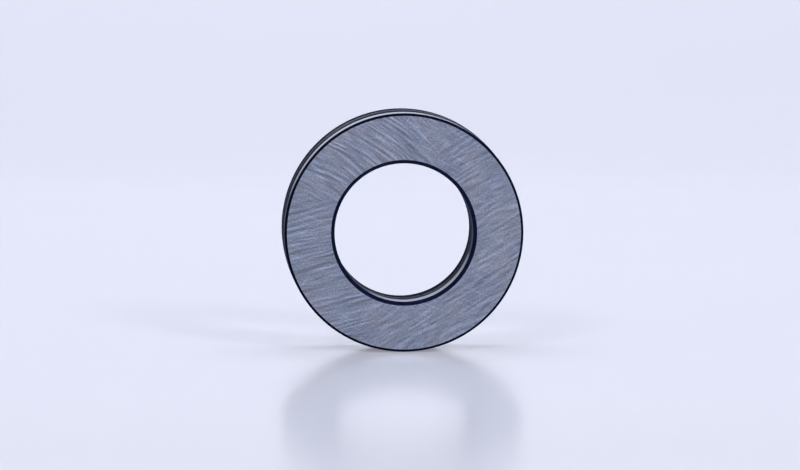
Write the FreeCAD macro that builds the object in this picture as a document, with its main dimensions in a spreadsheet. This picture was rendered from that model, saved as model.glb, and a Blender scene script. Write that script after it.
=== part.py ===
"""Single-direction thrust ball bearing, 30 x 52 x 16 mm, as a parametric FreeCAD document.

The bearing's axis is Y and its centre is the origin, so it stands on its rim with +Z up.
The shaft washer is on the -Y side and the housing washer on the +Y side. Between them a
pressed steel cage holds the ring of balls. Every size comes from the Dimensions sheet.
"""

import FreeCAD, Part, Sketcher
import math
import os
from collections import namedtuple

# Driving dimensions in millimetres, with the ball count as a plain number.
DIMENSIONS = {
    "bearing_height": 16.0,
    "shaft_bore": 30.0,
    "shaft_washer_outside": 51.7,
    "housing_washer_bore": 30.2,
    "housing_washer_outside": 52.0,
    "washer_thickness": 5.6,
    "bore_chamfer": 0.8,
    "rim_chamfer": 0.55,
    "race_side_round": 0.35,
    "ball_count": 15,
    "ball_diameter": 7.938,
    "pitch_diameter": 41.0,
    "race_groove_radius": 4.2,
    "running_gap": 0.03,
    "cage_height": 3.8,
    "cage_inside": 31.8,
    "cage_outside": 50.2,
    "cage_sheet": 0.45,
    "cage_bend_radius": 0.85,
    "cage_lip": 1.25,
    "pocket_clearance": 0.14,
}
SHEET = "Dimensions"
FULL_TURN = 360.0
HALF_TURN_ABOUT_Z = FreeCAD.Rotation(FreeCAD.Vector(0, 0, 1), 180)
# Two volumes count as the same when they differ by less than this share.
SAME_VOLUME = 0.01

# How a sketch numbers its own origin, and the points of a line or an arc.
ORIGIN_POINT = (-1, 1)
START, END, CENTRE = 1, 2, 3

# A corner of an outline: its name, and expressions for its place. The piece of outline that
# leaves it is an arc about centre, a pair of expressions, or a straight line if that is None.
Corner = namedtuple("Corner", "name x y centre", defaults=[None])


def cell(name):
    """The sheet cell called name, as it is written in an expression."""
    return f"{SHEET}.{name}"


def make_sheet(doc):
    """The spreadsheet of driving dimensions, one aliased row for each."""
    sheet = doc.addObject("Spreadsheet::Sheet", SHEET)
    for row, (name, value) in enumerate(DIMENSIONS.items(), start=1):
        sheet.set(f"A{row}", name)
        sheet.set(f"B{row}", str(value))
        sheet.setAlias(f"B{row}", name)
    doc.recompute()
    return sheet


def origin_feature(body, role):
    """The body's own origin plane or axis with that role."""
    return next(f for f in body.Origin.OriginFeatures if f.Role == role)


def make_body(doc, label):
    """An empty PartDesign body whose label names the sub-part's file."""
    body = doc.addObject("PartDesign::Body", label)
    body.Label = label
    return body


def pin_point(sketch, corner, piece, point):
    """Fixes one end of a piece of outline at its corner, measured from the sketch's origin."""
    for kind, axis, expression in (("DistanceX", "x", corner.x), ("DistanceY", "y", corner.y)):
        value = getattr(sketch.getPoint(piece, point), axis)
        index = sketch.addConstraint(Sketcher.Constraint(kind, *ORIGIN_POINT, piece, point, value))
        sketch.renameConstraint(index, f"{corner.name}_{axis}")
        sketch.setExpression(f"Constraints.{corner.name}_{axis}", expression)


def evaluate(sketch, x, y):
    """The point that two expressions stand for, as a vector in the sketch."""
    return FreeCAD.Vector(float(sketch.evalExpression(x)), float(sketch.evalExpression(y)), 0)


def counter_clockwise_arc(start, end, centre):
    """The arc from start to end about centre, and whether it had to be drawn end to start."""
    radius = start.distanceToPoint(centre)
    first = math.atan2(start.y - centre.y, start.x - centre.x)
    last = math.atan2(end.y - centre.y, end.x - centre.x)
    backwards = (last - first) % math.tau > math.pi
    if backwards:
        first, last = last, first
    circle = Part.Circle(centre, FreeCAD.Vector(0, 0, 1), radius)
    return Part.ArcOfCircle(circle, first, last), backwards


def draw_outline(sketch, corners):
    """Draws a closed outline and binds every corner to the sheet."""
    starts = []
    ends = []
    for here, following in zip(corners, corners[1:] + corners[:1]):
        begin = evaluate(sketch, here.x, here.y)
        finish = evaluate(sketch, following.x, following.y)
        if here.centre:
            arc, backwards = counter_clockwise_arc(begin, finish, evaluate(sketch, *here.centre))
            piece = sketch.addGeometry(arc)
            starts.append((piece, END if backwards else START))
            ends.append((piece, START if backwards else END))
        else:
            piece = sketch.addGeometry(Part.LineSegment(begin, finish))
            starts.append((piece, START))
            ends.append((piece, END))
    for following, end in zip(starts[1:] + starts[:1], ends):
        sketch.addConstraint(Sketcher.Constraint("Coincident", *end, *following))
    for corner, (piece, point) in zip(corners, starts):
        pin_point(sketch, corner, piece, point)
    for corner, (piece, _) in zip(corners, starts):
        if corner.centre:
            hold_arc(sketch, corner, piece)


def hold_arc(sketch, corner, piece):
    """Fixes the one freedom an arc keeps between two fixed ends: its centre, along its chord's normal."""
    height = evaluate(sketch, *corner.centre).y
    index = sketch.addConstraint(Sketcher.Constraint("DistanceY", *ORIGIN_POINT, piece, CENTRE, height))
    sketch.renameConstraint(index, f"{corner.name}_centre")
    sketch.setExpression(f"Constraints.{corner.name}_centre", corner.centre[1])


def revolve_outline(body, corners):
    """Turns an outline, drawn as radius against height along the axis, about the bearing's axis."""
    sketch = body.newObject("Sketcher::SketchObject", f"{body.Name}_outline")
    sketch.AttachmentSupport = (origin_feature(body, "XY_Plane"), [""])
    sketch.MapMode = "FlatFace"
    draw_outline(sketch, corners)
    turned = body.newObject("PartDesign::Revolution", f"{body.Name}_turned")
    turned.Profile = sketch
    turned.ReferenceAxis = (sketch, ["V_Axis"])
    turned.Angle = FULL_TURN
    sketch.Document.recompute()
    return turned


def make_washer(doc, label, bore, outside, faces_front):
    """A washer with a ball groove. It is drawn on the +Y side and turned round if it faces the front."""
    body = make_body(doc, label)
    inner = f"{cell(bore)} / 2"
    outer = f"{cell(outside)} / 2"
    back = f"{cell('bearing_height')} / 2"
    race_side = f"({back} - {cell('washer_thickness')})"
    bore_chamfer = cell("bore_chamfer")
    rim_chamfer = cell("rim_chamfer")
    edge = cell("race_side_round")

    pitch = f"{cell('pitch_diameter')} / 2"
    groove = cell("race_groove_radius")
    groove_centre = f"({cell('ball_diameter')} / 2 + {cell('running_gap')} - {groove})"
    half_width = f"sqrt({groove}^2 - ({race_side} - {groove_centre})^2)"

    revolve_outline(body, [
        Corner("bore_edge", inner, f"{race_side} + {edge}", (f"{inner} + {edge}", f"{race_side} + {edge}")),
        Corner("inner_shoulder", f"{inner} + {edge}", race_side),
        Corner("groove_start", f"{pitch} - {half_width}", race_side, (pitch, groove_centre)),
        Corner("groove_end", f"{pitch} + {half_width}", race_side),
        Corner("rim_edge", f"{outer} - {edge}", race_side, (f"{outer} - {edge}", f"{race_side} + {edge}")),
        Corner("rim_start", outer, f"{race_side} + {edge}"),
        Corner("rim_end", outer, f"{back} - {rim_chamfer}"),
        Corner("face_outside", f"{outer} - {rim_chamfer}", back),
        Corner("face_inside", f"{inner} + {bore_chamfer}", back),
        Corner("bore_end", inner, f"{back} - {bore_chamfer}"),
    ])
    if faces_front:
        body.Placement = FreeCAD.Placement(FreeCAD.Vector(), HALF_TURN_ABOUT_Z)
    return body


def make_cage(doc):
    """The pressed cage: a channel ring with rolled-in lips, and a spherical pocket for each ball."""
    body = make_body(doc, "cage")
    inner = f"{cell('cage_inside')} / 2"
    outer = f"{cell('cage_outside')} / 2"
    half = f"{cell('cage_height')} / 2"
    sheet = cell("cage_sheet")
    bend = cell("cage_bend_radius")
    lip = cell("cage_lip")
    left, right = f"{inner} + {bend}", f"{outer} - {bend}"
    low, high = f"-{half} + {bend}", f"{half} - {bend}"

    revolve_outline(body, [
        # Outside of the sheet, from the inner lip round to the outer lip.
        Corner("inner_lip_tip", f"{inner} + {lip}", f"-{half}"),
        Corner("inner_lip_bend", left, f"-{half}", (left, low)),
        Corner("inner_flange_low", inner, low),
        Corner("inner_flange_high", inner, high, (left, high)),
        Corner("web_inside", left, half),
        Corner("web_outside", right, half, (right, high)),
        Corner("outer_flange_high", outer, high),
        Corner("outer_flange_low", outer, low, (right, low)),
        Corner("outer_lip_bend", right, f"-{half}"),
        Corner("outer_lip_tip", f"{outer} - {lip}", f"-{half}"),
        # Inside of the sheet, back to the inner lip.
        Corner("outer_lip_top", f"{outer} - {lip}", f"-{half} + {sheet}"),
        Corner("outer_lip_root", right, f"-{half} + {sheet}", (right, low)),
        Corner("outer_wall_low", f"{outer} - {sheet}", low),
        Corner("outer_wall_high", f"{outer} - {sheet}", high, (right, high)),
        Corner("under_web_outside", right, f"{half} - {sheet}"),
        Corner("under_web_inside", left, f"{half} - {sheet}", (left, high)),
        Corner("inner_wall_high", f"{inner} + {sheet}", high),
        Corner("inner_wall_low", f"{inner} + {sheet}", low, (left, low)),
        Corner("inner_lip_root", left, f"-{half} + {sheet}"),
        Corner("inner_lip_top", f"{inner} + {lip}", f"-{half} + {sheet}"),
    ])
    solid_volume = body.Shape.Volume

    pocket = body.newObject("PartDesign::SubtractiveSphere", "ball_pocket")
    pocket.AttachmentSupport = (origin_feature(body, "XY_Plane"), [""])
    pocket.MapMode = "FlatFace"
    pocket.setExpression("Radius", f"{cell('ball_diameter')} / 2 + {cell('pocket_clearance')}")
    pocket.setExpression("AttachmentOffset.Base.x", f"{cell('pitch_diameter')} / 2")
    doc.recompute()
    one_pocket = solid_volume - body.Shape.Volume

    pattern = body.newObject("PartDesign::PolarPattern", "ball_pockets")
    pattern.Originals = [pocket]
    pattern.Axis = (origin_feature(body, "Y_Axis"), [""])
    pattern.Angle = FULL_TURN
    pattern.setExpression("Occurrences", cell("ball_count"))
    body.Tip = pattern
    doc.recompute()

    all_pockets = solid_volume - body.Shape.Volume
    if abs(all_pockets - DIMENSIONS["ball_count"] * one_pocket) > SAME_VOLUME * all_pockets:
        raise RuntimeError("the cage's pockets don't all cut the same amount")
    return body


def make_ball(doc, number):
    """One ball. Ball 1 is on the +X side, and the others follow at equal angles about +Y."""
    label = f"ball_{number:02d}"
    ball = doc.addObject("Part::Sphere", label)
    ball.Label = label
    angle = f"({number - 1} * {FULL_TURN} deg / {cell('ball_count')})"
    pitch = f"{cell('pitch_diameter')} / 2"
    ball.setExpression("Radius", f"{cell('ball_diameter')} / 2")
    ball.setExpression("Placement.Base.x", f"{pitch} * cos({angle})")
    ball.setExpression("Placement.Base.z", f"-{pitch} * sin({angle})")
    return ball


def check_document(doc, subparts):
    """Stops the build if any object failed, or any sub-part isn't one valid closed solid."""
    for item in doc.Objects:
        if "Invalid" in item.State or "Error" in item.State:
            raise RuntimeError(f"{item.Name} failed: {item.State}")
    for item in subparts:
        shape = item.Shape
        if shape.isNull() or not shape.isValid() or len(shape.Solids) != 1:
            raise RuntimeError(f"{item.Label} isn't one valid solid")


def main():
    doc = FreeCAD.newDocument("thrust_ball_bearing")
    make_sheet(doc)
    subparts = [
        make_washer(doc, "shaft_washer", "shaft_bore", "shaft_washer_outside", faces_front=True),
        make_washer(
            doc, "housing_washer", "housing_washer_bore", "housing_washer_outside", faces_front=False),
        make_cage(doc),
    ]
    subparts += [make_ball(doc, number) for number in range(1, DIMENSIONS["ball_count"] + 1)]
    doc.recompute()
    check_document(doc, subparts)
    os.makedirs("parts", exist_ok=True)
    for item in subparts:
        item.Shape.exportStep(os.path.join("parts", f"{item.Label}.step"))
        print(f"{item.Label}: {item.Shape.Volume:.2f} mm3")


main()
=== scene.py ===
"""Looks for a thrust ball bearing that stands on its rim: ground, blued, pressed and polished steel.

The CAD nodes keep their shapes. Each washer's surface is split into zones by where it lies, and
every zone has its own procedural material. Patterns are measured in millimetres.
"""

import math
from collections import namedtuple

import bpy
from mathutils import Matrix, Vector


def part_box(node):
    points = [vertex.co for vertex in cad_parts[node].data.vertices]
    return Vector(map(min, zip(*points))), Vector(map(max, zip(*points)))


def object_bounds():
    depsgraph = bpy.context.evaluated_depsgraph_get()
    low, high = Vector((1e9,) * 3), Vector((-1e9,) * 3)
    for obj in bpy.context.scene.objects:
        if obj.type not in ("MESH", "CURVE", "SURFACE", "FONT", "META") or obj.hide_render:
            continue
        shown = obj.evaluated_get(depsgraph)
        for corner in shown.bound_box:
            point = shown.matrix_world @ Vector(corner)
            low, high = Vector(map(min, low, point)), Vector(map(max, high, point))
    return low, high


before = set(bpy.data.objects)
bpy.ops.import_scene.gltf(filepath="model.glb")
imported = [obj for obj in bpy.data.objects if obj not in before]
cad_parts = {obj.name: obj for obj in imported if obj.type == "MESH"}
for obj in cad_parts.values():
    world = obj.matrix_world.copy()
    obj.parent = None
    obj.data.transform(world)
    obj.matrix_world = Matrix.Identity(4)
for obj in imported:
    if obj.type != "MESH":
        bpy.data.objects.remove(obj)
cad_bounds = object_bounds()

MM = 0.001

# Washer section, in millimetres, as the CAD draws it.
BORE_CHAMFER = 0.8
RIM_CHAMFER = 0.55
RACE_SIDE_ROUND = 0.35
SURFACE_SLACK = 0.02

# Grinding strokes on a seating face. Each family is a set of arcs about a far centre, in
# millimetres on the face, and shows in one sector of it, in degrees from +X towards +Z.
# length is how far a stroke runs, in millimetres, and contrast how strongly it marks the face.
Strokes = namedtuple("Strokes", "centre_x centre_z sector_middle sector_half_width length contrast")
FACE_STROKES = (
    Strokes(206.0, -343.0, -27.0, 98.0, 5.2, 0.78),
    Strokes(83.0, -391.0, 203.0, 46.0, 11.0, 1.1),
    Strokes(-36.0, -22.0, 114.0, 42.0, 6.0, 1.1),
)
# A sector's edge fades over this many degrees each way.
SECTOR_EDGE = 13.0
# Each family has feed marks, this far apart in millimetres, and about this strong on average.
FEED_PITCH = 1.42
FEED_STRENGTH = 0.17
# They wander by up to FEED_WANDER pitches, in so many cycles for each pitch across them and for
# each stroke's length along them. Where another noise is below BREAK_START they are gone, and
# above BREAK_END they are at their strongest.
FEED_WANDER = 2.4
WANDER_ACROSS = 0.45
WANDER_ONWARD = 0.4
BREAK_SEED = 3.0
BREAK_START = 0.32
BREAK_END = 0.68
# Over them lie its grit lines, in layers: width of a line in millimetres, its length as a share
# of the family's, the way it leans from the family, and its strength.
Layer = namedtuple("Layer", "width share lean strength")
STROKE_LAYERS = (
    Layer(0.46, 1.0, 0.0, 0.35),
    Layer(0.28, 0.6, -7.0, 0.7),
    Layer(0.16, 0.4, 6.0, 0.7),
)
# Stray scratches: the way each set runs, in degrees from +X towards +Z, and how rare it is.
STRAY_SCRATCHES = ((-24.0, 0.69), (52.0, 0.71), (4.0, 0.72))
# Their width and length, in millimetres, and over what rise of the noise they come in.
SCRATCH_WIDTH = 0.24
SCRATCH_LENGTH = 8.0
SCRATCH_EDGE = 0.06
# They bend this far, in millimetres, and this fast, in radians for each millimetre.
SCRATCH_BEND = 0.5
SCRATCH_BEND_RATE = 0.11

# How the patterns of a seating face add up. Scales are in cycles for each millimetre, the wobble
# of a sector's edge is in radians, and reliefs are in millimetres.
SECTOR_WOBBLE_SCALE = 0.35
SECTOR_WOBBLE = 0.5
FACE_GRAIN_SCALE = (2.6, 0.0, 2.6)
FACE_GRAIN = 1.2
FACE_CLOUD_SCALE = 0.12
FACE_CLOUD = 0.35
WARM_PATCH_START = 0.42
WARM_PATCH_END = 0.62
FACE_LEVEL = 0.965
LINE_GAIN = 1.05
BRIGHT_LINE_GAIN = 0.6
SCRATCH_LIGHT = 0.38
FACE_ROUGHNESS = 0.46
TONE_POLISH = 0.2
TONE_RELIEF = 0.005
SCRATCH_RELIEF = 0.004

# Surfaces turned or ground round the axis: how far apart their lines are and how far each runs,
# in millimetres, how high they stand, and how uneven the colour and the roughness are.
FINE_LINE_PITCH = 0.12
COARSE_LINE_PITCH = 0.2
TURNED_LINE_RUN = 14.0
TURNED_LINE_ROUGHNESS = 0.55
TURNED_RELIEF = 0.003
TURNED_CONTRAST = 0.5
TURNED_BLOTCH = 0.3
TURNED_CLOUD_SCALE = 0.5
ROUGHNESS_SPREAD = 0.15
DARKEST_LEVEL = 0.1
# Lines are counted along a section's slope, so that they show on flat and round parts alike.
SECTION_SLOPE = 1.37

# Where a surface counts as square on and as edge on to the viewer, from 0 to 1.
SQUARE_ON = 0.4
EDGE_ON = 0.85
# Seen edge on, a round surface keeps its gloss only where it faces this way: up, and a little to
# the left, as a painted highlight. The gloss starts and is full at these cosines of the angle between
# the two.
HIGHLIGHT_WAY = (-0.35, 0.0, 0.937)
GLOSS_START = 0.62
GLOSS_FULL = 0.95
# The share of its painted edge-on shade that a ground surface loses there, to a painted highlight.
HIGHLIGHT_LIFT = 0.4


class Graph:
    """A material's node tree, with short calls for the nodes that the materials share."""

    def __init__(self, name):
        self.material = bpy.data.materials.new(name)
        self.material.use_nodes = True
        self.tree = self.material.node_tree
        self.tree.nodes.clear()

    def node(self, kind, **settings):
        made = self.tree.nodes.new(kind)
        for name, value in settings.items():
            setattr(made, name, value)
        return made

    def feed(self, socket, value):
        """Links a socket to another, or sets it to a plain number or tuple."""
        if isinstance(value, bpy.types.NodeSocket):
            self.tree.links.new(value, socket)
        else:
            socket.default_value = value

    def math(self, operation, *values):
        made = self.node("ShaderNodeMath", operation=operation)
        for socket, value in zip(made.inputs, values):
            self.feed(socket, value)
        return made.outputs[0]

    def vector_math(self, operation, *values):
        made = self.node("ShaderNodeVectorMath", operation=operation)
        for socket, value in zip(made.inputs, values):
            self.feed(socket, value)
        return made.outputs["Value" if operation in ("LENGTH", "DOT_PRODUCT") else "Vector"]

    def combine(self, x, y, z):
        made = self.node("ShaderNodeCombineXYZ")
        for socket, value in zip(made.inputs, (x, y, z)):
            self.feed(socket, value)
        return made.outputs[0]

    def noise(self, vector, detail=2.0, roughness=0.5):
        """Noise at one cycle for each unit of vector, centred on 0.5."""
        made = self.node("ShaderNodeTexNoise", noise_dimensions="3D")
        self.feed(made.inputs["Vector"], vector)
        self.feed(made.inputs["Scale"], 1.0)
        self.feed(made.inputs["Detail"], detail)
        self.feed(made.inputs["Roughness"], roughness)
        return made.outputs["Fac"]

    def pattern(self, point, scale, detail=2.0, roughness=0.5):
        """Noise at so many cycles for each unit of point: one number, or one for each axis."""
        if isinstance(scale, float):
            scale = (scale, scale, scale)
        return self.noise(self.vector_math("MULTIPLY", point, scale), detail, roughness)

    def swing(self, value, reach):
        """Turns a number from 0 to 1 into one about 0, half of reach each way."""
        return self.math("MULTIPLY", self.math("SUBTRACT", value, 0.5), reach)

    def fade(self, value, low, high, to_low=0.0, to_high=1.0):
        """A smooth step of value from low to high."""
        made = self.node("ShaderNodeMapRange", interpolation_type="SMOOTHSTEP")
        for name, setting in (("Value", value), ("From Min", low), ("From Max", high),
                              ("To Min", to_low), ("To Max", to_high)):
            self.feed(made.inputs[name], setting)
        return made.outputs[0]

    def mix(self, factor, low, high):
        """Blends between two colours or two tuples of numbers."""
        made = self.node("ShaderNodeMix", data_type="RGBA")
        self.feed(made.inputs["Factor"], factor)
        self.feed(made.inputs["A"], low)
        self.feed(made.inputs["B"], high)
        return made.outputs["Result"]

    def blend(self, factor, low, high):
        """A number that goes from low to high as factor goes from 0 to 1."""
        made = self.node("ShaderNodeMix", data_type="FLOAT")
        self.feed(made.inputs["Factor"], factor)
        self.feed(made.inputs["A"], low)
        self.feed(made.inputs["B"], high)
        return made.outputs["Result"]

    def scale_colour(self, colour, factor):
        """A colour times a number that may vary over the surface."""
        return self.vector_math("MULTIPLY", colour, self.combine(factor, factor, factor))

    def edge_on(self):
        """From 0 to 1 as the surface turns from square on to edge on."""
        facing = self.node("ShaderNodeLayerWeight").outputs["Facing"]
        return self.fade(facing, SQUARE_ON, EDGE_ON)

    def highlight_way(self):
        """From 0 to 1 as the surface turns to face the way of the painted highlight."""
        normal = self.node("ShaderNodeNewGeometry").outputs["Normal"]
        closeness = self.vector_math("DOT_PRODUCT", normal, HIGHLIGHT_WAY)
        return self.fade(closeness, GLOSS_START, GLOSS_FULL)

    def finish(self, colour, roughness, height=None, metallic=1.0, specular=0.5):
        """Ends the tree in one surface, with a relief of height, in millimetres.

        Gives back its shader, so that more of its inputs can be fed.
        """
        shader = self.node("ShaderNodeBsdfPrincipled")
        self.feed(shader.inputs["Base Color"], colour)
        self.feed(shader.inputs["Roughness"], roughness)
        self.feed(shader.inputs["Metallic"], metallic)
        self.feed(shader.inputs["Specular IOR Level"], specular)
        if height is not None:
            bump = self.node("ShaderNodeBump")
            self.feed(bump.inputs["Distance"], MM)
            self.feed(bump.inputs["Height"], height)
            self.feed(shader.inputs["Normal"], bump.outputs[0])
        out = self.node("ShaderNodeOutputMaterial")
        self.feed(out.inputs["Surface"], shader.outputs[0])
        return shader


class Place:
    """Where a point is, in millimetres: along the bearing's axis, out from it and round it."""

    def __init__(self, graph):
        coordinates = graph.node("ShaderNodeTexCoord").outputs["Object"]
        self.point = graph.vector_math("SCALE", coordinates)
        self.point.node.inputs["Scale"].default_value = 1 / MM
        split = graph.node("ShaderNodeSeparateXYZ")
        graph.feed(split.inputs[0], self.point)
        self.x, self.along, self.z = split.outputs
        self.out = graph.math("SQRT", graph.math(
            "ADD", graph.math("MULTIPLY", self.x, self.x), graph.math("MULTIPLY", self.z, self.z)))
        self.turn = graph.math("ARCTAN2", self.z, self.x)


def follow_arcs(graph, place, strokes, lean=0.0):
    """How far a point is from the centre of a family's arcs, and how far along its arc."""
    reach = math.hypot(strokes.centre_x, strokes.centre_z)
    bearing = math.atan2(strokes.centre_z, strokes.centre_x) + math.radians(lean)
    toward_x, toward_z = -math.cos(bearing), -math.sin(bearing)
    from_x = graph.math("ADD", place.x, reach * toward_x)
    from_z = graph.math("ADD", place.z, reach * toward_z)
    radius = graph.vector_math("LENGTH", graph.combine(from_x, 0.0, from_z))
    # The angle is measured from the way the centre sees the face, so it never wraps there.
    ahead = graph.math("ADD", graph.math("MULTIPLY", from_x, toward_x),
                       graph.math("MULTIPLY", from_z, toward_z))
    aside = graph.math("SUBTRACT", graph.math("MULTIPLY", from_z, toward_x),
                       graph.math("MULTIPLY", from_x, toward_z))
    return radius, graph.math("MULTIPLY", graph.math("ARCTAN2", aside, ahead), reach)


def grit_lines(graph, place, strokes, layer):
    """One layer of fine lines along the arcs of a family, as a number about 0."""
    radius, onward = follow_arcs(graph, place, strokes, layer.lean)
    across = graph.math("DIVIDE", radius, layer.width)
    onward = graph.math("DIVIDE", onward, strokes.length * layer.share)
    seed = strokes.sector_middle + layer.width
    lines = graph.noise(graph.combine(across, onward, seed), detail=0.0)
    return graph.swing(lines, layer.strength)


def feed_marks(graph, place, strokes):
    """The nearly even, nearly straight ridges of a family, which break off and start again."""
    radius, onward = follow_arcs(graph, place, strokes)
    across = graph.math("DIVIDE", radius, FEED_PITCH)
    onward = graph.math("DIVIDE", onward, strokes.length)
    seed = strokes.sector_middle
    wander_across = graph.math("MULTIPLY", across, WANDER_ACROSS)
    wander_onward = graph.math("MULTIPLY", onward, WANDER_ONWARD)
    wander = graph.noise(graph.combine(wander_across, wander_onward, seed), detail=0.0)
    phase = graph.math("ADD", across, graph.math("MULTIPLY", wander, FEED_WANDER))
    ridges = graph.math("SINE", graph.math("MULTIPLY", phase, 2 * math.pi))
    breaks = graph.noise(graph.combine(across, onward, seed + BREAK_SEED), detail=0.0)
    strength = graph.fade(breaks, BREAK_START, BREAK_END, 0.0, 2 * FEED_STRENGTH)
    return graph.math("MULTIPLY", ridges, strength)


def stray_scratches(graph, place):
    """A few long thin bright lines that cross the face, from 0 to 1."""
    total = 0.0
    for heading, rarity in STRAY_SCRATCHES:
        along_x, along_z = math.cos(math.radians(heading)), math.sin(math.radians(heading))
        onward = graph.math("ADD", graph.math("MULTIPLY", place.x, along_x),
                            graph.math("MULTIPLY", place.z, along_z))
        across = graph.math("SUBTRACT", graph.math("MULTIPLY", place.z, along_x),
                            graph.math("MULTIPLY", place.x, along_z))
        # A slow bend keeps the lines from being ruler-straight.
        swerve = graph.math("SINE", graph.math("MULTIPLY", onward, SCRATCH_BEND_RATE))
        bent = graph.math("ADD", across, graph.math("MULTIPLY", swerve, SCRATCH_BEND))
        lines = graph.noise(graph.combine(
            graph.math("DIVIDE", bent, SCRATCH_WIDTH),
            graph.math("DIVIDE", onward, SCRATCH_LENGTH), heading), detail=0.0)
        total = graph.math("MAXIMUM", total, graph.fade(lines, rarity, rarity + SCRATCH_EDGE))
    return total


def sector_mask(graph, place, strokes, wobble):
    """One inside a family's sector and zero outside it, with an uneven edge."""
    middle = math.radians(strokes.sector_middle)
    facing = graph.math("ADD", graph.math("MULTIPLY", place.x, math.cos(middle)),
                        graph.math("MULTIPLY", place.z, math.sin(middle)))
    away = graph.math("ARCCOSINE", graph.math("DIVIDE", facing, place.out))
    away = graph.math("ADD", away, graph.swing(wobble, SECTOR_WOBBLE))
    half_width = math.radians(strokes.sector_half_width)
    edge = math.radians(SECTOR_EDGE)
    return graph.fade(away, half_width - edge, half_width + edge, 1.0, 0.0)


def ground_face_material(name, colour, warmer):
    """A seating face, ground in crossing sweeps of near-straight strokes, with a few stray scratches.

    The colour drifts towards warmer in slow patches.
    """
    graph = Graph(name)
    place = Place(graph)
    wobble = graph.pattern(place.point, SECTOR_WOBBLE_SCALE)
    tone = 0.0
    for strokes in FACE_STROKES:
        family = feed_marks(graph, place, strokes)
        for layer in STROKE_LAYERS:
            family = graph.math("ADD", family, grit_lines(graph, place, strokes, layer))
        family = graph.math("MULTIPLY", family, strokes.contrast)
        tone = graph.blend(sector_mask(graph, place, strokes, wobble), tone, family)
    grain = graph.pattern(place.point, FACE_GRAIN_SCALE)
    tone = graph.math("ADD", tone, graph.swing(grain, FACE_GRAIN))
    scratches = stray_scratches(graph, place)
    cloud = graph.pattern(place.point, FACE_CLOUD_SCALE, detail=3.0)
    # Bright lines stand out further from the steel than dark ones do.
    gain = graph.math("ADD", LINE_GAIN, graph.math("MULTIPLY", tone, BRIGHT_LINE_GAIN))
    lines = graph.math("MULTIPLY", tone, gain)
    uneven = graph.math("ADD", lines, graph.swing(cloud, FACE_CLOUD))
    level = graph.math("ADD", FACE_LEVEL, uneven)
    level = graph.math("ADD", level, graph.math("MULTIPLY", scratches, SCRATCH_LIGHT))
    steel = graph.mix(graph.fade(cloud, WARM_PATCH_START, WARM_PATCH_END), colour, warmer)
    roughness = graph.math("SUBTRACT", FACE_ROUGHNESS, graph.math("MULTIPLY", tone, TONE_POLISH))
    relief = graph.math("SUBTRACT", graph.math("MULTIPLY", tone, TONE_RELIEF),
                        graph.math("MULTIPLY", scratches, SCRATCH_RELIEF))
    graph.finish(graph.scale_colour(steel, level), roughness, relief)
    return graph.material


def turning_lines(graph, place, pitch, run, seed):
    """Fine lines round the bearing's axis, pitch apart, each fading in and out over run."""
    round_x = graph.math("MULTIPLY", graph.math("COSINE", place.turn), place.out)
    round_z = graph.math("MULTIPLY", graph.math("SINE", place.turn), place.out)
    section = graph.math("ADD", place.along, graph.math("MULTIPLY", place.out, SECTION_SLOPE))
    return graph.noise(
        graph.combine(graph.math("DIVIDE", round_x, run), graph.math("DIVIDE", section, pitch),
                      graph.math("ADD", graph.math("DIVIDE", round_z, run), seed)),
        roughness=TURNED_LINE_ROUGHNESS)


def turned_surface(graph, colour, roughness, contrast, pitch, blotch, seed):
    """The colour, roughness and line height of a surface turned or ground round the axis."""
    place = Place(graph)
    lines = turning_lines(graph, place, pitch, TURNED_LINE_RUN, seed)
    cloud = graph.pattern(place.point, TURNED_CLOUD_SCALE, detail=3.0)
    change = graph.math("ADD", graph.swing(lines, contrast), graph.swing(cloud, blotch))
    level = graph.math("MAXIMUM", graph.math("ADD", 1.0, change), DARKEST_LEVEL)
    uneven = graph.math("ADD", roughness, graph.swing(cloud, ROUGHNESS_SPREAD))
    return graph.scale_colour(colour, level), uneven, lines


def bright_steel(name, colour, roughness, contrast=TURNED_CONTRAST, relief=TURNED_RELIEF,
                 blotch=TURNED_BLOTCH, seed=0.0):
    """A metal surface with turning or grinding lines round the axis. relief is in millimetres."""
    graph = Graph(name)
    shade, uneven, lines = turned_surface(graph, colour, roughness, contrast, FINE_LINE_PITCH,
                                          blotch, seed)
    graph.finish(shade, uneven, graph.math("MULTIPLY", lines, relief))
    return graph.material


def round_with_painted_shade(name, colour, painted_shade_colour, roughness):
    """Steel ground round the axis, drawn as a non-metal.

    Seen edge on, painted shade darkens its colour, but a painted highlight lifts it where it faces up
    and a little to the left, and its gloss stays only there. That is how the studio picture has it,
    and no property of steel.
    """
    graph = Graph(name)
    # Painted shade darkens the colour edge on, and a painted highlight takes back part of it where the
    # surface faces up and a little to the left.
    highlight_mask = graph.highlight_way()
    shade_after_highlight = graph.math("SUBTRACT", 1.0, graph.math("MULTIPLY", highlight_mask, HIGHLIGHT_LIFT))
    painted_shade = graph.math("MULTIPLY", graph.edge_on(), shade_after_highlight)
    shade = graph.mix(painted_shade, colour, painted_shade_colour)
    shade, uneven, lines = turned_surface(graph, shade, roughness, TURNED_CONTRAST,
                                          FINE_LINE_PITCH, TURNED_BLOTCH, seed=0.0)
    graph.finish(shade, uneven, graph.math("MULTIPLY", lines, TURNED_RELIEF), metallic=0.0,
                 specular=graph.blend(graph.edge_on(), 1.0, highlight_mask))
    return graph.material


def oxide_and_painted_shade(name, colour, roughness, specular, sheen=0.0, contrast=1.0, blotch=0.6, seed=0.0):
    """A dark skin, drawn as a non-metal: blued steel on the chamfers, painted shade on the race-side
    edges between the washers, and the far washer's dark rim and bore.

    Seen edge on, only its sheen is left, a painted highlight where it faces up and a little to the
    left.
    """
    graph = Graph(name)
    shade, uneven, lines = turned_surface(graph, colour, roughness, contrast, COARSE_LINE_PITCH,
                                          blotch, seed)
    glancing = graph.math("MULTIPLY", graph.highlight_way(), sheen)
    graph.finish(shade, uneven, graph.math("MULTIPLY", lines, TURNED_RELIEF), metallic=0.0,
                 specular=graph.blend(graph.edge_on(), specular, glancing))
    return graph.material


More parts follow.
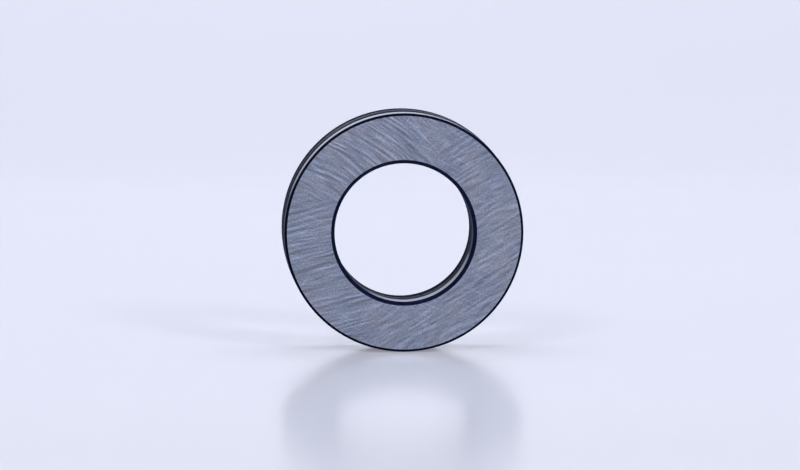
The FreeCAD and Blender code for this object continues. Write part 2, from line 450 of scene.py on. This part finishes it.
# The cage's sheet. Pitch, run and relief are in millimetres, scales in cycles for each millimetre.
SHEET_BRIGHT = (0.42, 0.42, 0.45, 1.0)
SHEET_OILED = (0.33, 0.32, 0.33, 1.0)
SHEET_GRAIN_SCALE = (3.0, 9.0, 3.0)
SHEET_GRAIN_ROUGHNESS = 0.6
SHEET_FILM_SCALE = 0.3
SHEET_LINE_PITCH = 0.3
SHEET_LINE_RUN = 6.0
SHEET_LINE_SEED = 3.1
SHEET_LEVEL = 0.62
SHEET_LINES = 0.4
SHEET_GRAIN = 0.36
SHEET_GRAIN_RELIEF = 0.006
SHEET_LINE_RELIEF = 0.004


def pressed_sheet_material():
    """The cage: cold-rolled sheet, drawn round the ring, with faint tool marks and a dull oil film."""
    graph = Graph("pressed_sheet")
    place = Place(graph)
    grain = graph.pattern(place.point, SHEET_GRAIN_SCALE, detail=4.0, roughness=SHEET_GRAIN_ROUGHNESS)
    lines = turning_lines(graph, place, SHEET_LINE_PITCH, SHEET_LINE_RUN, SHEET_LINE_SEED)
    film = graph.pattern(place.point, SHEET_FILM_SCALE, detail=3.0)
    change = graph.math("ADD", graph.math("MULTIPLY", lines, SHEET_LINES),
                        graph.math("MULTIPLY", grain, SHEET_GRAIN))
    level = graph.math("ADD", SHEET_LEVEL, change)
    oiled = graph.fade(film, low=0.4, high=0.65)
    colour = graph.mix(oiled, SHEET_BRIGHT, SHEET_OILED)
    roughness = graph.fade(film, low=0.3, high=0.7, to_low=0.3, to_high=0.45)
    height = graph.math("ADD", graph.math("MULTIPLY", grain, SHEET_GRAIN_RELIEF),
                        graph.math("MULTIPLY", lines, SHEET_LINE_RELIEF))
    graph.finish(graph.scale_colour(colour, level), roughness, height)
    return graph.material


# The balls, in the same units.
BALL_COLOUR = (0.78, 0.79, 0.82)
BALL_HAZE_SCALE = 0.6
BALL_LAP_SCALE = (18.0, 5.0, 11.0)
BALL_LEVEL = 0.94
BALL_LAP = 0.12
BALL_LAP_RELIEF = 0.0004


def polished_ball_material():
    """A lapped ball: near mirror, with very fine lapping marks and a trace of handling haze."""
    graph = Graph("polished_ball")
    place = Place(graph)
    haze = graph.pattern(place.point, BALL_HAZE_SCALE, detail=3.0)
    lap = graph.pattern(place.point, BALL_LAP_SCALE)
    level = graph.math("ADD", BALL_LEVEL, graph.math("MULTIPLY", lap, BALL_LAP))
    roughness = graph.fade(haze, low=0.35, high=0.7, to_low=0.04, to_high=0.11)
    graph.finish(graph.scale_colour(BALL_COLOUR, level), roughness,
                 graph.math("MULTIPLY", lap, BALL_LAP_RELIEF))
    return graph.material


def washer_zone(radius, depth, thickness, bore, rim):
    """Which zone of a washer a point is in. depth is how far it lies behind the seating face."""
    if depth < SURFACE_SLACK:
        return "face"
    if depth < max(BORE_CHAMFER, RIM_CHAMFER) - SURFACE_SLACK:
        if radius < bore + BORE_CHAMFER and depth < BORE_CHAMFER:
            return "bore_chamfer"
        if radius > rim - RIM_CHAMFER and depth < RIM_CHAMFER - SURFACE_SLACK:
            return "rim_chamfer"
    from_race_side = thickness - depth
    inside_edge = radius < bore + RACE_SIDE_ROUND + SURFACE_SLACK
    outside_edge = radius > rim - RACE_SIDE_ROUND - SURFACE_SLACK
    if from_race_side < RACE_SIDE_ROUND and (inside_edge or outside_edge):
        return "race_edge"
    if from_race_side < SURFACE_SLACK:
        return "race_flat"
    if radius < bore + SURFACE_SLACK:
        return "bore"
    if radius > rim - SURFACE_SLACK:
        return "rim"
    return "groove"


def paint_washer(node, materials):
    """Gives every face of a washer the material of its zone. materials is zone name to material."""
    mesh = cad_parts[node].data
    low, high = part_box(node)
    face_at = max(abs(low.y), abs(high.y)) / MM
    race_at = min(abs(low.y), abs(high.y)) / MM
    rim = high.x / MM
    bore = min(math.hypot(v.co.x, v.co.z) for v in mesh.vertices) / MM
    zones = list(materials)
    mesh.materials.clear()
    for zone in zones:
        mesh.materials.append(materials[zone])
    for face in mesh.polygons:
        corners = [mesh.vertices[i].co for i in face.vertices]
        radius = sum(math.hypot(c.x, c.z) for c in corners) / len(corners) / MM
        depth = face_at - abs(face.center.y) / MM
        face.material_index = zones.index(washer_zone(radius, depth, face_at - race_at, bore, rim))


def paint_all(node, material):
    """Gives a whole node one material."""
    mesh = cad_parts[node].data
    mesh.materials.clear()
    mesh.materials.append(material)


def dress_bearing():
    """Makes the materials and gives them to the washers' zones, the cage and the balls."""
    ground_face = ground_face_material(
        "ground_face", colour=(0.211, 0.239, 0.322, 1.0), warmer=(0.224, 0.239, 0.308, 1.0))
    # Seen edge on, the ground rim and bore get painted shade, lifted by a painted highlight where they
    # face up and a little to the left.
    ground_round = round_with_painted_shade(
        "ground_round", colour=(0.40, 0.41, 0.445, 1.0),
        painted_shade_colour=(0.095, 0.105, 0.14, 1.0), roughness=0.4)
    blued_bore = bright_steel(
        "blued_bore_chamfer", (0.008, 0.013, 0.050), roughness=0.36, contrast=1.6, blotch=2.2)
    blued_rim = oxide_and_painted_shade(
        "blued_rim_chamfer", (0.002, 0.003, 0.012), roughness=0.5, specular=0.0, seed=4.0)
    # The far washer's rim and bore are drawn dark.
    dark_rim_and_bore = oxide_and_painted_shade(
        "dark_rim_and_bore", (0.009, 0.012, 0.028), roughness=0.42, specular=0.5, contrast=2.0, seed=7.0)
    # The near washer's race-side edges, in the gap between the washers, are painted near black as
    # shade.
    gap_shade_edge = oxide_and_painted_shade(
        "gap_shade_edge", (0.004, 0.005, 0.012), roughness=0.45, specular=0.1, seed=11.0)
    # The far washer's race-side edges are painted dark as the shade in the gap, with a painted
    # highlight where they face up and a little to the left.
    gap_shade_glint_edge = oxide_and_painted_shade(
        "gap_shade_glint_edge", (0.012, 0.016, 0.036), roughness=0.3, specular=0.3, sheen=0.5, contrast=1.4,
        blotch=1.0, seed=13.0)
    # The race-side flats, in the gap between the washers, are painted near black as shade.
    race_flat = bright_steel(
        "race_flat", (0.03, 0.03, 0.042), roughness=0.45, contrast=1.0, seed=17.0)
    groove = bright_steel(
        "polished_groove", (0.70, 0.71, 0.75), roughness=0.09, contrast=0.12, relief=0.0004,
        blotch=0.1, seed=19.0)
    paint_washer("shaft_washer", {
        "face": ground_face, "bore": ground_round, "rim": ground_round,
        "bore_chamfer": blued_bore, "rim_chamfer": blued_rim,
        "race_edge": gap_shade_edge, "race_flat": race_flat, "groove": groove,
    })
    paint_washer("housing_washer", {
        "face": ground_face, "bore": dark_rim_and_bore, "rim": dark_rim_and_bore,
        "bore_chamfer": blued_bore, "rim_chamfer": blued_rim,
        "race_edge": gap_shade_glint_edge, "race_flat": race_flat, "groove": groove,
    })
    paint_all("cage", pressed_sheet_material())
    ball = polished_ball_material()
    for node in sorted(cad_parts):
        if node.startswith("ball_"):
            paint_all(node, ball)


# The studio, in metres. The floor runs back from behind the camera and sweeps up into a wall.
# Its lights, its bow and its glow were set to match one studio picture from the camera's angle.
SWEEP_HALF_WIDTH = 1.6
SWEEP_FRONT = -1.6
SWEEP_BEND_START = 0.45
SWEEP_BEND_RADIUS = 0.45
SWEEP_TOP = 1.5
SWEEP_STEPS = 24
# The board's colour, in slow patches, and its roughness.
BOARD_DARKER = (0.385, 0.39, 0.445, 1.0)
BOARD_PALER = (0.405, 0.41, 0.465, 1.0)
BOARD_PATCH_SCALE = 0.006
BOARD_ROUGHNESS = 0.19
# In front of the bearing it is shaded as if it sloped down towards the viewer by SWEEP_BOW, in
# radians, and it gets a little painted shade there and loses most of its gloss. Places are in
# millimetres along the bearing's axis.
SWEEP_BOW = 0.024
BOW_STARTS = -40.0
BOW_IS_FULL = -120.0
NEARER_STARTS = -40.0
NEARER_IS_FULL = -180.0
NEARER_PAINTED_SHADE = 0.05
NEARER_DULLER = 0.72
# It glows faintly, most within FOOT_NEAR of the front of the ring's foot and least beyond
# FOOT_FAR. That front is FOOT_FORWARD ahead of the ring's middle. All are in millimetres.
GLOW_COLOUR = (0.87, 0.89, 1.0, 1.0)
FOOT_FORWARD = 8.0
FOOT_NEAR = 2.0
FOOT_FAR = 24.0
GLOW_AT_FOOT = 0.27
GLOW_ELSEWHERE = 0.09

# Even light comes from all round. Soft boxes add to it: name, place, target, width and height in
# metres, power in watts, and colour.
EVEN_LIGHT_COLOUR = (0.92, 0.945, 1.0, 1.0)
EVEN_LIGHT_STRENGTH = 0.57
Softbox = namedtuple("Softbox", "name place target size power colour")
SOFTBOXES = (
    Softbox("overhead", (0.0, -0.15, 0.95), (0, 0.1, 0), (1.1, 0.9), 0.8, (0.94, 0.96, 1.0)),
    Softbox("back_wall", (0.0, 0.25, 1.0), (0, 0.9, 0.1), (1.4, 0.5), 11.6, (0.93, 0.955, 1.0)),
)
# Two small lamps in front: name, azimuth and elevation in degrees, and power in watts.
SIDE_LAMPS = (("left_lamp", -24.0, 34.0, 10.8), ("right_lamp", 30.0, 27.5, 12.9))
SIDE_LAMP_DISTANCE = 1.6
SIDE_LAMP_SIZE = 0.25
SIDE_LAMP_COLOUR = (0.96, 0.97, 1.0)
CAMERA_AZIMUTH = -3.2
CAMERA_ELEVATION = 5.1
CAMERA_DISTANCE = 1.0
# How wide a strip the picture shows at the bearing, and the point it is centred on.
VIEW_WIDTH = 0.174
AIM = Vector((-0.00046, 0.0, -0.00115))
# The camera sensor's width, in millimetres, and the nearest and furthest it sees, in metres.
SENSOR_WIDTH = 36.0
NEAREST_SEEN = 0.01
FURTHEST_SEEN = 20.0


def direction_back(azimuth, elevation):
    """The way from the object towards a viewer, in the frame's angles."""
    turn = math.radians(azimuth)
    lift = math.radians(elevation)
    return Vector((math.sin(turn) * math.cos(lift), -math.cos(turn) * math.cos(lift), math.sin(lift)))


def sweep_material():
    """Pale satin board that mirrors the ring softly and glows a little, most at its foot.

    In front of the bearing it is shaded as if it sloped down towards the viewer, which shortens
    the mirrored ring, it gets a little painted shade, and its gloss fades. Its shape stays flat.
    """
    graph = Graph("pale_sweep")
    place = Place(graph)
    tone = graph.pattern(place.point, BOARD_PATCH_SCALE, detail=3.0)
    nearer = graph.fade(place.along, NEARER_IS_FULL, NEARER_STARTS, 1.0, 0.0)
    colour = graph.mix(tone, BOARD_DARKER, BOARD_PALER)
    unshaded_share = graph.math("SUBTRACT", 1.0, graph.math("MULTIPLY", nearer, NEARER_PAINTED_SHADE))
    gloss = graph.math("SUBTRACT", 1.0, graph.math("MULTIPLY", nearer, NEARER_DULLER))
    shader = graph.finish(graph.scale_colour(colour, unshaded_share), BOARD_ROUGHNESS, metallic=0.0,
                          specular=gloss)
    past_foot = graph.math("ADD", place.along, FOOT_FORWARD)
    from_foot = graph.vector_math("LENGTH", graph.combine(place.x, past_foot, 0.0))
    glow = graph.fade(from_foot, FOOT_NEAR, FOOT_FAR, GLOW_AT_FOOT, GLOW_ELSEWHERE)
    graph.feed(shader.inputs["Emission Color"], GLOW_COLOUR)
    graph.feed(shader.inputs["Emission Strength"], glow)
    slope = graph.fade(place.along, BOW_IS_FULL, BOW_STARTS, -SWEEP_BOW, 0.0)
    flat_normal = graph.node("ShaderNodeNewGeometry").outputs["Normal"]
    bowed = graph.vector_math("ADD", flat_normal, graph.combine(0.0, slope, 0.0))
    graph.feed(shader.inputs["Normal"], graph.vector_math("NORMALIZE", bowed))
    return graph.material


def make_sweep(floor_height):
    """The floor and wall as one bent sheet."""
    outline = [(SWEEP_FRONT, 0.0)]
    for step in range(SWEEP_STEPS + 1):
        angle = math.pi / 2 * step / SWEEP_STEPS
        outline.append((SWEEP_BEND_START + SWEEP_BEND_RADIUS * math.sin(angle),
                        SWEEP_BEND_RADIUS * (1 - math.cos(angle))))
    outline.append((SWEEP_BEND_START + SWEEP_BEND_RADIUS, SWEEP_TOP))
    points = [(side * SWEEP_HALF_WIDTH, y, floor_height + rise)
              for y, rise in outline for side in (-1, 1)]
    quads = [(2 * i, 2 * i + 1, 2 * i + 3, 2 * i + 2) for i in range(len(outline) - 1)]
    mesh = bpy.data.meshes.new("sweep")
    mesh.from_pydata(points, [], quads)
    mesh.polygons.foreach_set("use_smooth", [True] * len(mesh.polygons))
    mesh.materials.append(sweep_material())
    sweep = bpy.data.objects.new("sweep", mesh)
    bpy.context.collection.objects.link(sweep)


def add_softbox(name, place, target, size, power, colour):
    """A rectangular area light at place that faces target."""
    lamp = bpy.data.lights.new(name, "AREA")
    lamp.shape = "RECTANGLE"
    lamp.size, lamp.size_y = size
    lamp.energy = power
    lamp.color = colour
    box = bpy.data.objects.new(name, lamp)
    box.location = place
    box.rotation_mode = "QUATERNION"
    box.rotation_quaternion = (Vector(target) - Vector(place)).to_track_quat("-Z", "Y")
    bpy.context.collection.objects.link(box)


def light_studio():
    """Even light from all round, a bright wall, a faint light overhead and a lamp on each side."""
    world = bpy.data.worlds.new("studio")
    world.use_nodes = True
    background = world.node_tree.nodes["Background"]
    background.inputs["Color"].default_value = EVEN_LIGHT_COLOUR
    background.inputs["Strength"].default_value = EVEN_LIGHT_STRENGTH
    bpy.context.scene.world = world
    for box in SOFTBOXES:
        add_softbox(*box)
    for name, azimuth, elevation, power in SIDE_LAMPS:
        place = direction_back(azimuth, elevation) * SIDE_LAMP_DISTANCE
        size = (SIDE_LAMP_SIZE, SIDE_LAMP_SIZE)
        add_softbox(name, place, (0, 0, 0), size, power, SIDE_LAMP_COLOUR)


def place_camera():
    """A long lens in front of the bearing, a little to its left and above it."""
    data = bpy.data.cameras.new("camera")
    data.sensor_width = SENSOR_WIDTH
    data.lens = SENSOR_WIDTH * CAMERA_DISTANCE / VIEW_WIDTH
    data.clip_start = NEAREST_SEEN
    data.clip_end = FURTHEST_SEEN
    camera = bpy.data.objects.new("camera", data)
    back = direction_back(CAMERA_AZIMUTH, CAMERA_ELEVATION)
    camera.location = AIM + back * CAMERA_DISTANCE
    camera.rotation_mode = "QUATERNION"
    camera.rotation_quaternion = (-back).to_track_quat("-Z", "Y")
    bpy.context.collection.objects.link(camera)
    bpy.context.scene.camera = camera


bpy.context.scene.view_settings.view_transform = "Standard"
dress_bearing()
make_sweep(floor_height=cad_bounds[0].z)
light_studio()
place_camera()
